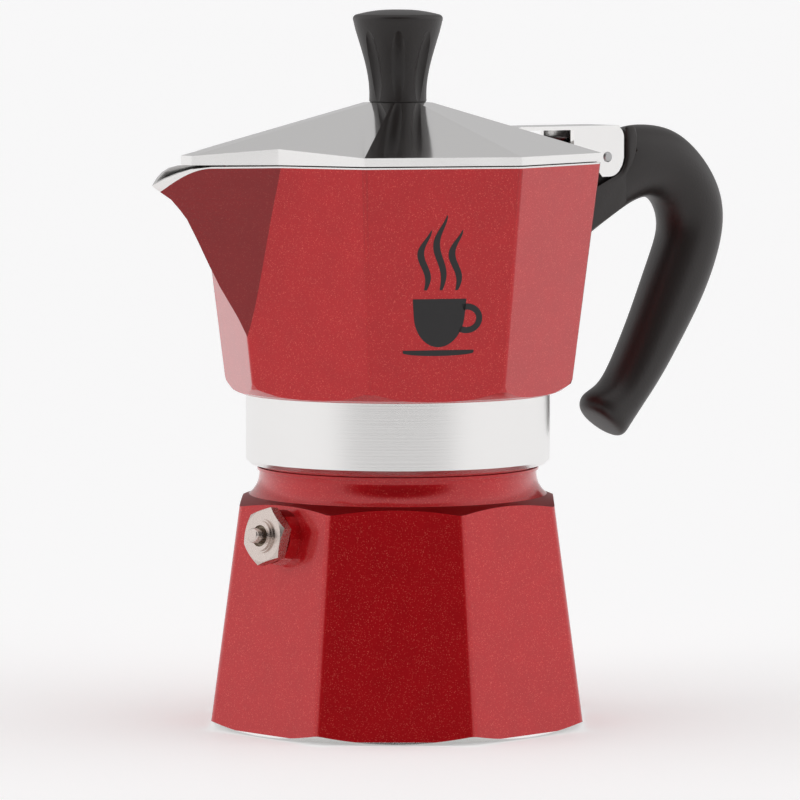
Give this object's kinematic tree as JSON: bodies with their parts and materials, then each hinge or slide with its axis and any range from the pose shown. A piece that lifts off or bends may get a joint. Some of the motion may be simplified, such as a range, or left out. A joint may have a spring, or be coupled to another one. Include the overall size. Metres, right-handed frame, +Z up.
{
  "type": "moka pot",
  "caption": "Octagonal stove-top moka pot with an unscrewing upper vessel, lift-out coffee funnel, hinged lid, safety valve and moulded handle.",
  "frame": {"origin": "centre of the boiler's flat bottom, on the pot's upright axis", "axes": "+Z up, +X towards the handle, -X towards the spout"},
  "size_m": [0.1634, 0.0948, 0.165],
  "materials": {
    "boiler": "red metallic enamel outside, bare metal foot",
    "collector": "red metallic enamel, bare turned band, bare inside",
    "column": "satin",
    "lid": "polished",
    "hinge_pin": "satin",
    "knob": "satin black",
    "knob_insert": "turned",
    "knob_screw": "satin",
    "knob_washer": "satin",
    "handle": "satin black",
    "valve_body": "nickel plated",
    "valve_pin": "nickel plated",
    "valve_washer": "matt",
    "valve_nut": "turned",
    "valve_spring": "drawn wire",
    "valve_seal": "matt",
    "valve_ring": "dull",
    "funnel": "satin",
    "funnel_sieve": "satin",
    "gasket": "white rubber",
    "filter_plate": "satin"
  },
  "bodies": {
    "base": {"boiler": "boiler", "valve_body": "valve_body", "valve_washer": "valve_washer", "valve_nut": "valve_nut", "valve_ring": "valve_ring", "valve_spring": "valve_spring"},
    "plunger": {"valve_pin": "valve_pin", "valve_seal": "valve_seal"},
    "funnel_unit": {"funnel": "funnel", "funnel_sieve": "funnel_sieve"},
    "seal_unit": {"gasket": "gasket", "filter_plate": "filter_plate"},
    "vessel": {"collector": "collector", "column": "column", "hinge_pin": "hinge_pin", "handle": "handle"},
    "lid_unit": {"lid": "lid", "knob": "knob", "knob_insert": "knob_insert", "knob_screw": "knob_screw", "knob_washer": "knob_washer"}
  },
  "joints": [
    {"name": "funnel_lift", "type": "slide", "parent": "base", "child": "funnel_unit", "axis": [0, 0, 1], "range_m": [0, 0.07]},
    {"name": "thread_rise", "type": "slide", "parent": "funnel_unit", "child": "seal_unit", "axis": [0, 0, 1], "range_m": [0, 0.00751]},
    {"name": "unscrew", "type": "hinge", "parent": "seal_unit", "child": "vessel", "pos_m": [0, 0, 0.0727], "axis": [0, 0, 1], "range_deg": [0, 900]},
    {"name": "lid_hinge", "type": "hinge", "parent": "vessel", "child": "lid_unit", "pos_m": [0.0566, 0, 0.13005], "axis": [0, 1, 0], "range_deg": [0, 92]},
    {"name": "valve_travel", "type": "slide", "parent": "base", "child": "plunger", "axis": [-0.9813, -0.1414, 0.1309], "range_m": [0, 0.0015], "stiffness_N_per_m": 200, "springref_m": -0.002, "deforming": ["valve_spring"]}
  ],
  "couplings": [
    {"joint": "thread_rise", "follows": "unscrew", "m_per_rad": 0.00047746}
  ]
}
